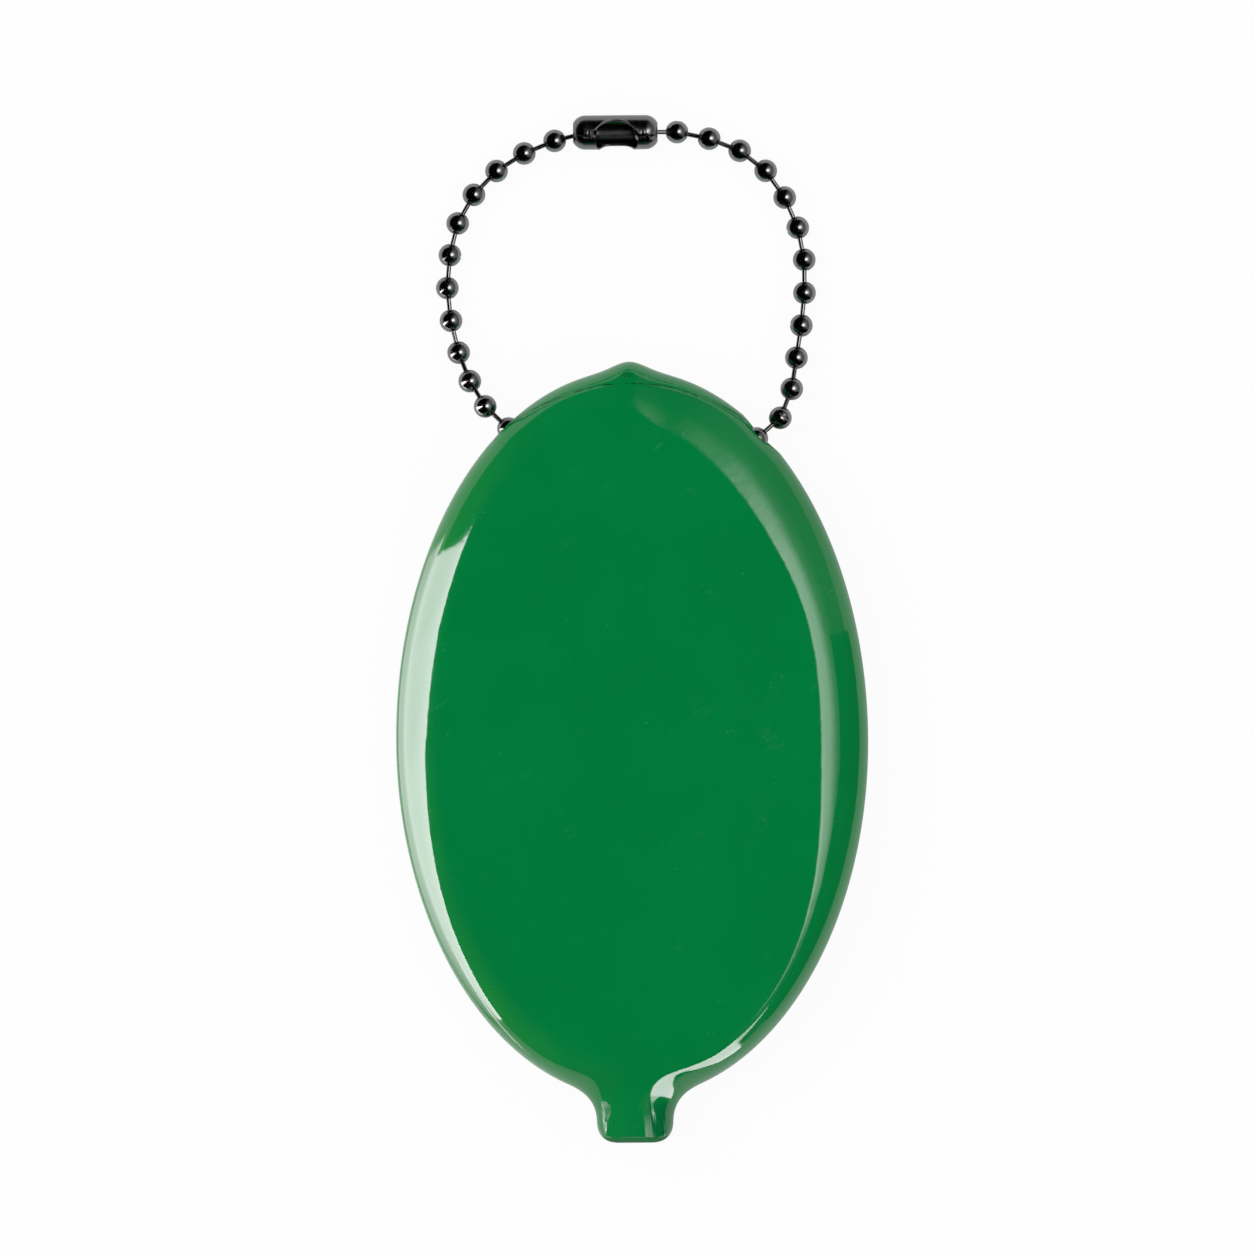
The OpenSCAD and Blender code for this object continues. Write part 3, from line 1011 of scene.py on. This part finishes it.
@dataclass
class Chain:
    """Hollow beads and the headed wires that join them."""

    bead_r: float = 1.6
    sheet: float = 0.25
    hole_r: float = 0.43
    roll_r: float = 0.09
    head_at: float = 0.55
    head_r: float = 0.50
    wire_r: float = 0.32
    flare_r: float = 0.35
    columns: int = 48

    def strand(self, side: str, count: int) -> list[str]:
        """Names of the beads from a slit to the connector."""
        between = [f"bead_{side}_{i}" for i in range(1, count + 1)]
        return [f"bead_slit_{side}", *between, f"bead_held_{side}"]

    def bead(self, node: str, at: Array, ahead: Array, behind: Array, roll: float) -> None:
        """One bead: a hollow ball with two rolled holes and a short pressed seam.

        The ball is a sphere whose axis turns by e cos(polar) about the bend's
        axis, so that each hole faces its own link. The seam is a bell groove
        round the middle, over part of the turn.

        Args:
            node: The CAD node it stands for.
            at: Middle of the bead.
            ahead: Point that one hole faces.
            behind: Point that the other hole faces.
            roll: Turn of the seam about the bead's axis, in degrees.
        """
        forward, onward = unit(ahead - at), unit(at - behind)
        axis = unit(forward + onward)
        cross = np.cross(axis, forward)
        bend = float(np.arcsin(min(np.linalg.norm(cross), 1.0)))
        pivot = unit(cross) if bend > 1e-5 else np.array([0.0, 0.0, 1.0])
        up = unit(np.cross(axis, [0.0, 0.0, 1.0]))
        lift = np.cross(up, axis)
        patch = Patchwork(f"ball_{node.removeprefix('bead_')}")
        edge = math.asin((self.hole_r + self.roll_r) / self.bead_r)
        even = np.linspace(edge, np.pi - edge, 33)
        fine = np.pi / 2 + np.linspace(-0.16, 0.16, 17)
        polar = np.sort(np.concatenate([even[np.abs(even - np.pi / 2) > 0.18], fine]))
        turn = np.linspace(0, 2 * np.pi, self.columns, endpoint=False)
        off = np.angle(np.exp(1j * (turn - math.radians(roll))))
        groove = np.exp(-((polar[:, None] - np.pi / 2) / 0.085) ** 2) * smooth((0.55 - np.abs(off)) / 0.16)
        outer = np.broadcast_to(self.bead_r - 0.12 * groove, (len(polar), self.columns))

        def surface(p: Array, r: Array) -> Array:
            """Sphere point at polar angle p and radius r, with the axis bent."""
            ring = np.cos(turn)[:, None] * lift + np.sin(turn)[:, None] * up
            ball = np.cos(p)[:, None, None] * axis + np.sin(p)[:, None, None] * ring
            tilt = np.broadcast_to((bend * np.cos(p))[:, None], r.shape)
            return at + turned(ball * r[..., None], pivot, tilt)

        patch.grid(surface(polar, outer), closed=True, flip=True)
        inner_polar = np.linspace(edge, np.pi - edge, 13)
        inner_r = np.full((13, self.columns), self.bead_r - self.sheet)
        patch.grid(surface(inner_polar, inner_r), closed=True, flip=False)
        share = np.linspace(0, 1, 7)
        lip_r = mix(self.bead_r, self.bead_r - self.sheet, (1 - np.cos(np.pi * share)) / 2)
        for first, flip in ((True, False), (False, True)):
            spread = edge - self.roll_r / self.bead_r * np.sin(np.pi * share)
            p = spread if first else np.pi - spread
            patch.grid(surface(p, np.repeat(lip_r[:, None], self.columns, 1)), closed=True, flip=flip)
        made = patch.sew(50.0)
        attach(made, body_of(frame["nodes"][node])[0])
        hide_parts(node)
        Finish.BEAD.dress(made)

    def link_grid(self, start: Array, end: Array) -> Array:
        """One headed wire, as a turned profile.

        The profile is a round head, a waist that flares towards each head
        with the fourth power of the way from the middle, and the other head.
        """
        way = end - start
        length = float(np.linalg.norm(way))
        axis = way / length
        head = np.radians(np.linspace(0, 142, 9))
        first = np.stack([self.head_at - self.head_r * np.cos(head), self.head_r * np.sin(head)], axis=1)
        s = np.linspace(-1, 1, 15)
        reach = length / 2 - self.head_at - self.head_r * 0.84
        thick = self.wire_r + (self.flare_r - self.wire_r) * s ** 4
        waist = np.stack([length / 2 + s * reach, thick], axis=1)
        last = first[::-1] * [-1, 1] + [length, 0]
        return lathe(np.concatenate([first, waist, last]), start, axis, 20)

    def links(self, node: str, pairs: list[tuple[Array, Array]]) -> None:
        """All the wires of one CAD node.

        Args:
            node: The CAD node they stand for.
            pairs: Middles of the two beads that each wire joins.
        """
        patch = Patchwork(f"wires_{node.removeprefix('links_')}")
        for start, end in pairs:
            patch.grid(self.link_grid(start, end), closed=True)
        made = patch.sew(60.0)
        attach(made, body_of(frame["nodes"][node])[0])
        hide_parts(node)
        Finish.LINK.dress(made)
        report(made)

    def build(self) -> None:
        """Both strands, the hidden stretch between them and every wire."""
        draw = np.random.default_rng(7)
        left, right = self.strand("left", 11), self.strand("right", 12)
        hidden = ["bead_slit_left", *self.hidden_nodes(), "bead_slit_right"]
        middle = {n: node_middle(n) for n in {*left, *right, *hidden}}
        for names in (left, right):
            for i, name in enumerate(names):
                at = middle[name]
                behind = middle[names[i - 1]] if i else middle[hidden[1] if "left" in name else hidden[-2]]
                ahead = middle[names[i + 1]] if i + 1 < len(names) else 2 * at - behind
                roll = 12.0 if name == "bead_right_1" else 100.0 + 160.0 * draw.random()
                self.bead(name, at, ahead, behind, roll)
        for i in range(1, len(hidden) - 1):
            self.bead(hidden[i], middle[hidden[i]], middle[hidden[i + 1]], middle[hidden[i - 1]], 180.0)
        LOG.info("beads: %d", len(middle))
        rows = [(middle[n[i - 1]], middle[n[i]]) for n in (left, right) for i in range(1, len(n))]
        count = len(left) - 1
        for i in range(1, 9):
            self.links(f"links_row_{i}", [rows[i - 1], rows[count + i - 1]])
        self.links("links_crown", rows[8:count] + rows[count + 8:])
        self.links("links_hidden", [(middle[a], middle[b]) for a, b in zip(hidden, hidden[1:])])

    @staticmethod
    def hidden_nodes() -> list[str]:
        """The hidden beads' nodes, from the left slit to the right."""
        found = [n for n in frame["nodes"] if n.startswith("bead_hidden_")]
        return sorted(found, key=lambda n: int(n.rsplit("_", 1)[1]))


@dataclass
class Connector:
    """The snap connector: a rolled sheet with rounded ends and an arched window."""

    node: str = "connector"
    length: float = 12.2
    radius: float = 2.4
    corner: float = 1.9
    sheet: float = 0.32
    end_hole_r: float = 1.25
    seam_half: float = 0.10
    seam_turn: float = 15.0
    arch_half: float = 3.5
    arch_turn: float = 61.0
    under_turn: float = 116.0
    columns: int = 110

    def profile(self) -> Array:
        """Rows of (x, radius) from the left hole to the right one.

        Each end is a quarter circle between a flat end wall and the straight
        middle; the middle has the closest rows, for the window's edge.
        """
        flat = self.length / 2
        centre = flat - self.corner
        turn = np.radians(np.linspace(0, 90, 22))
        low = self.radius - self.corner
        wall = np.stack([np.full(5, flat), np.linspace(self.end_hole_r, low, 5)], axis=1)
        bend = np.stack([centre + self.corner * np.cos(turn), low + self.corner * np.sin(turn)], axis=1)
        wall = wall[wall[:, 1] < bend[0, 1]]
        bend = bend[bend[:, 1] >= self.end_hole_r]
        right = np.concatenate([wall, bend])
        middle = np.linspace(-centre, centre, 131)[1:-1]
        straight = np.stack([middle, np.full(len(middle), self.radius)], axis=1)
        return np.concatenate([right * [-1, 1], straight, right[::-1]])

    @staticmethod
    def saw(x: Array) -> Array:
        """Teeth between 0 and 1, every half millimetre."""
        return np.abs(((x / 0.50) % 1.0) - 0.5) * 2

    def edges(self, x: Array, r: Array) -> tuple[Array, Array]:
        """Turns from the seam at which the sheet ends, above and below it.

        The arch goes as cos(90 x / half)^0.75 and the cut below the seam
        as (1 - (x / half)^5)^0.7. Past them a narrow seam stays open, with a
        few torn teeth at the arch's feet.
        """
        seam = np.arcsin(np.clip(self.seam_half / r, 0, 1))
        share = np.clip(np.abs(x) / self.arch_half, 0, 1)
        arch = math.radians(self.arch_turn) * np.cos(share * np.pi / 2) ** 0.75
        under = math.radians(self.under_turn) * (1 - np.clip(np.abs(x - 0.2) / 3.0, 0, 1) ** 5) ** 0.7
        feet = smooth((np.abs(x) - 2.7) / 0.5) * smooth((4.5 - np.abs(x)) / 0.3)
        teeth = self.saw(x) * feet
        above = np.maximum(seam, arch) + 0.13 * teeth
        return above, np.maximum(seam, under) + 0.10 * (1 - teeth) * feet

    def sheet_grid(self, inset: float) -> Array:
        """The sheet at a depth inside its outer face, rows along and columns round."""
        line = self.profile()
        x, r = line[:, :1], line[:, 1:]
        above, below = self.edges(x, r)
        share = (1 - np.cos(np.pi * np.linspace(0, 1, self.columns))) / 2
        share = mix(share, np.linspace(0, 1, self.columns), 0.6)[None, :]
        turn = mix(above, 2 * np.pi - below, share)
        gap = np.minimum(turn - above, 2 * np.pi - below - turn) * r
        curl = 0.05 * np.exp(-(gap / 0.14) ** 2) * smooth((3.6 - np.abs(x)) / 0.6)
        near = np.minimum(turn, 2 * np.pi - turn) * r
        feet = smooth((np.abs(x) - 2.6) / 0.4) * smooth((4.7 - np.abs(x)) / 0.4)
        teeth = 0.10 * (self.saw(x) - 0.6) * feet * np.exp(-(near / 0.5) ** 2)
        eye = np.hypot(x - 5.0, near)
        ring = 0.13 * np.exp(-((eye - 0.34) / 0.12) ** 2) - 0.22 * np.exp(-(eye / 0.2) ** 2)
        out = (curl + teeth + ring) * smooth((self.radius + 0.05 - inset) / 0.1)
        nx = np.where(np.abs(x) > self.length / 2 - self.corner, 1.0, 0.0) * np.sign(x)
        tilt = np.clip((r - (self.radius - self.corner)) / self.corner, 0, 1)
        ax = nx * np.sqrt(np.maximum(1 - tilt ** 2, 0))
        ar = np.where(nx == 0, 1.0, tilt)
        radius = r + ar * (out - inset)
        along = x + ax * (out - inset)
        lean = math.radians(self.seam_turn)
        across = radius * np.sin(turn - lean)
        high = radius * np.cos(turn - lean)
        return np.stack([np.broadcast_to(along, across.shape), across, high], axis=-1)

    def build(self) -> None:
        """Outer and inner faces joined by rolled edges, in the connector's place."""
        outer, inner = self.sheet_grid(0.0), self.sheet_grid(self.sheet)
        middle = node_middle(self.node)
        patch = Patchwork("snap_sheet")

        def put(grid: Array, flip: bool) -> None:
            """Adds a grid at the connector's place."""
            patch.grid(grid + middle, flip=flip)

        put(outer, True)
        put(inner, False)
        for edge, beside, flip in ((0, 1, False), (-1, -2, True)):
            put(self.rolled(outer[:, edge], inner[:, edge], outer[:, edge] - outer[:, beside]), not flip)
            put(self.rolled(outer[edge], inner[edge], outer[edge] - outer[beside]), flip)
        made = patch.sew(42.0)
        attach(made, "connector")
        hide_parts(self.node)
        Finish.CONNECTOR.dress(made)
        report(made)

    def rolled(self, outer: Array, inner: Array, outward: Array) -> Array:
        """Half round edge between two border lines, standing out by a half sine."""
        reach = unit(outward + 1e-9) * 0.10
        reach[[0, -1]] = 0.0
        turns = [math.pi * k / 6 for k in range(7)]
        return np.stack([mix(outer, inner, (1 - math.cos(t)) / 2) + reach * math.sin(t) for t in turns])


# --- studio ----------------------------------------------------------------------


@dataclass(frozen=True)
class SoftBox:
    """A soft light on the sky round the object, for reflections.

    Angles are in degrees: azimuth from +X towards +Y, and slope down from
    straight up. Strength goes from inner at the upper edge to outer at the lower.
    """

    azimuth: float
    half_width: float
    upper: float
    lower: float
    inner: float
    outer: float
    side_soft: float = 6.0
    upper_soft: float = 5.0
    lower_soft: float = 8.0

    def light(self, shader: Shader, x: Value, y: Value, slope: Value) -> Value:
        """Strength in the direction (x, y), whose slope from the zenith is given."""
        c, s = math.cos(math.radians(self.azimuth)), math.sin(math.radians(self.azimuth))
        turn = shader.math("ARCTAN2", y * c - x * s, x * c + y * s) * math.degrees(1)
        across = (self.half_width - abs(turn)).edge(self.side_soft)
        down = (slope - self.upper).edge(self.upper_soft) * (self.lower - slope).edge(self.lower_soft)
        share = ((slope - self.upper) / (self.lower - self.upper)).op("ADD", 0.0, clamp=True)
        return across * down * (share * (self.outer - self.inner) + self.inner)


@dataclass(frozen=True)
class Card:
    """A lit or black card that stands near the purse and shows only in reflections.

    Its plane stands on a straight line from start to end, in the purse's own
    plan. Its lower and upper edges pass through heights at even steps along
    that line, and the upper edge reaches past the end by lean. Its light fades
    out where it has gone farther along the ground than reach, which is given
    at the same steps, so that it edges the near rim and leaves the face alone.
    """

    name: str
    start: tuple[float, float]
    end: tuple[float, float]
    lower: tuple[float, ...]
    upper: tuple[float, ...]
    low_glow: float = 0.0
    high_glow: float = 0.0
    lean: float = 0.0
    tone: Colour = (1.0, 1.0, 1.0)
    reach: tuple[float, ...] = (44.5,) * 4

    def build(self) -> None:
        """Makes the card, with its height share and reach stored at its points."""
        share = np.linspace(0, 1, len(self.upper))[:, None]
        start, end = np.array(self.start), np.array(self.end)
        foot = mix(start, end, share)
        head = foot + share * unit(end - start) * self.lean
        rows = [np.column_stack([line[:, 0], line[:, 1] - ORIGIN_Y, heights])
                for line, heights in ((foot, self.lower), (head, self.upper))]
        patch = Patchwork(self.name)
        patch.grid(np.stack(rows))
        card = patch.sew()
        points = mesh_points(card).astype(float) / MM
        top = {tuple(np.round(p, 3)) for p in rows[1]}
        store(card, "lift", [1.0 if tuple(np.round(p, 3)) in top else 0.0 for p in points])
        far = end - start
        run = (points[:, :2] + (0, ORIGIN_Y) - start) @ far / (far @ far)
        store(card, "reach", np.interp(run, share[:, 0], self.reach))
        made = bpy.data.materials.new(self.name)
        shader = Shader(made)
        way = shader.ray("Ray Length")[0] / MM
        climb = shader.place()[2] - 9.0
        along = (way * way - climb * climb).op("MAXIMUM", 0.0).op("SQRT")
        near = (shader.attribute("reach") - along).step(-3.0, 3.0)
        lit = shader.attribute("lift") * (self.high_glow - self.low_glow) + self.low_glow
        shader.end(shader.node("ShaderNodeEmission", inputs={"Color": self.tone, "Strength": lit * near}))
        made.cycles.emission_sampling = "NONE"
        card.data.materials.append(made)
        card.visible_camera = card.visible_diffuse = card.visible_shadow = False


@dataclass
class Studio:
    """White table, soft lights, cards and the camera straight above."""

    boxes: tuple[SoftBox, ...] = (
        SoftBox(9.0, 26.0, 10.5, 34.0, 5.6, 3.6, 22.0, 2.5, 14.0),
        SoftBox(9.0, 28.0, 30.0, 52.0, 1.0, 0.4, 24.0, 14.0, 16.0),
        SoftBox(336.0, 17.0, 10.5, 19.0, 3.2, 2.4, 12.0, 2.0, 4.0),
        SoftBox(43.0, 18.0, 11.0, 38.0, 1.1, 0.2, 14.0, 4.0, 14.0),
        SoftBox(10.0, 50.0, 14.0, 96.0, 0.28, 0.28, 30.0, 12.0, 4.0),
    )
    cards: tuple[Card, ...] = (
        Card("card_left", (-70.0, -84.0), (-70.0, 41.5), (0.0,) * 6,
             (18.0, 36.0, 42.0, 51.0, 76.0, 118.0), 10.0, 17.0, 9.0, LEFT_TONE,
             (72.0, 64.0, 56.0, 51.0, 50.0, 54.0)),
        Card("card_low_right", (11.2, -90.5), (39.7, -74.0), (30.0, 14.0, 2.0, 0.0),
             (34.0, 42.0, 49.0, 55.0), 11.0, 14.0, 0.0, (1.0, 0.9, 0.98)),
        Card("card_tail", (39.7, -74.0), (53.6, -66.0), (28.0, 54.0), (55.0, 62.0), 9.0, 7.0,
             reach=(50.0,) * 2),
        Card("card_black", (75.0, -90.0), (75.0, 24.0), (0.0,) * 5,
             (110.0, 110.0, 80.0, 54.0, 54.0), reach=(50.0,) * 5),
    )
    dim: float = 0.004
    ambient: float = 0.62
    table_half: float = 6.0
    table_z: float = -5e-5

    def world(self) -> None:
        """White to the camera, the soft boxes to a mirror, even light to all else."""
        world = bpy.data.worlds.new("studio")
        bpy.context.scene.world = world
        shader = Shader(world)
        way = shader.node("ShaderNodeTexCoord").outputs["Generated"]
        parts = shader.node("ShaderNodeSeparateXYZ", inputs={0: way}).outputs
        x, y, z = (Value(shader, part) for part in parts)
        slope = z.op("ARCCOSINE") * math.degrees(1)
        seen = slope.step(96.0, 100.0) * (1.0 - self.dim) + self.dim
        for box in self.boxes:
            seen = seen + box.light(shader, x, y, slope)
        glossy, camera = shader.ray("Is Glossy Ray", "Is Camera Ray")
        strength = seen * glossy + self.ambient * (1 - glossy)
        strength = strength * (1 - camera) + camera
        sky = shader.node("ShaderNodeBackground", inputs={"Color": (1.0, 1.0, 1.0), "Strength": strength})
        shader.node("ShaderNodeOutputWorld", inputs={"Surface": sky.outputs[0]})
        world.cycles.sampling_method = "NONE"

    def floor(self) -> None:
        """White table: bright to the camera, with the object's faint shadow kept.

        Between the purse and the left card its light shows only to mirrors.
        """
        mesh = bpy.data.meshes.new("table")
        r, z = self.table_half, self.table_z
        mesh.from_pydata([(-r, -r, z), (r, -r, z), (r, r, z), (-r, r, z)], [], [(0, 1, 2, 3)])
        table = bpy.data.objects.new("table", mesh)
        bpy.context.scene.collection.objects.link(table)
        made = bpy.data.materials.new("white_table")
        shader = Shader(made)
        x, y, _ = shader.place()
        camera, glossy = shader.ray("Is Camera Ray", "Is Glossy Ray")
        along = y + ORIGIN_Y
        outside = x * x * (1 / 39.3 ** 2) + along * along * (1 / 58.0 ** 2) - 1
        low = outside.edge(0.06) * (x + 71.0).edge(2.0) * (12.0 - along - x * 0.516).edge(4.0)
        low = low * (along - x * 0.888 + 21.7).edge(4.0)
        by_tab = (x + 71.0).edge(2.0) * (-24.0 - x).edge(8.0)
        by_tab = by_tab * (along + 57.0).edge(0.6) * (-52.0 - along).edge(0.6)
        shade = (9.0 - abs(x)).edge(3.0) * (-57.5 - along).edge(1.0) * (along + 80.0).edge(8.0)
        lit = low * (x * -0.21 - 5.4) + by_tab * (x * -0.1 + 0.9)
        paper = shader.node("ShaderNodeBsdfDiffuse", inputs={"Color": (0.92, 0.92, 0.92)})
        tone = shader.blend(glossy, (1.0, 1.0, 1.0), LEFT_TONE)
        glow = shader.node("ShaderNodeEmission", inputs={"Color": tone, "Strength": camera + glossy * lit})
        share = camera * 0.94 + glossy * (1 - camera) * (low + by_tab + shade * 0.85)
        shader.end(shader.node("ShaderNodeMixShader", inputs={
            0: share, 1: paper.outputs[0], 2: glow.outputs[0]}))
        made.cycles.emission_sampling = "NONE"
        mesh.materials.append(made)

    def lamp(self, name: str, place: Colour, size: float, power: float) -> None:
        """A square soft lamp that faces the purse and stays out of reflections."""
        light = bpy.data.lights.new(name, "AREA")
        light.shape, light.size, light.energy = "SQUARE", size, power
        made = bpy.data.objects.new(name, light)
        made.location = place
        aim = -made.location
        made.rotation_mode = "QUATERNION"
        made.rotation_quaternion = aim.to_track_quat("-Z", "Y")
        made.visible_glossy = made.visible_camera = False
        bpy.context.scene.collection.objects.link(made)

    def camera(self) -> None:
        """Camera over the middle of the picture, looking straight down."""
        data = bpy.data.cameras.new("camera")
        data.sensor_width, data.lens = 36.0, 451.8
        data.clip_start, data.clip_end = 0.05, 50.0
        made = bpy.data.objects.new("camera", data)
        made.location = (-0.60 * MM, 0.216 * MM, 2.206)
        made.rotation_euler = (0.0, 0.0, math.radians(-0.45))
        bpy.context.scene.collection.objects.link(made)
        bpy.context.scene.camera = made

    def build(self) -> None:
        """Sets up the view, the light and the camera."""
        bpy.context.scene.view_settings.view_transform = "Standard"
        self.camera()
        self.world()
        self.floor()
        for card in self.cards:
            card.build()
        self.lamp("lamp_left", (-0.75, 0.25, 1.0), 0.7, 5.0)
        self.lamp("lamp_right", (0.8, -0.3, 1.1), 0.7, 1.6)


def main() -> None:
    """Builds the studio, then the purse, its chain and its connector."""
    logging.basicConfig(level=logging.INFO, format="%(message)s")
    Studio().build()
    shell = Shell()
    shell.build()
    for side in (-1, 1):
        shell.lip(side)
    Chain().build()
    Connector().build()


if __name__ == "__main__":
    main()
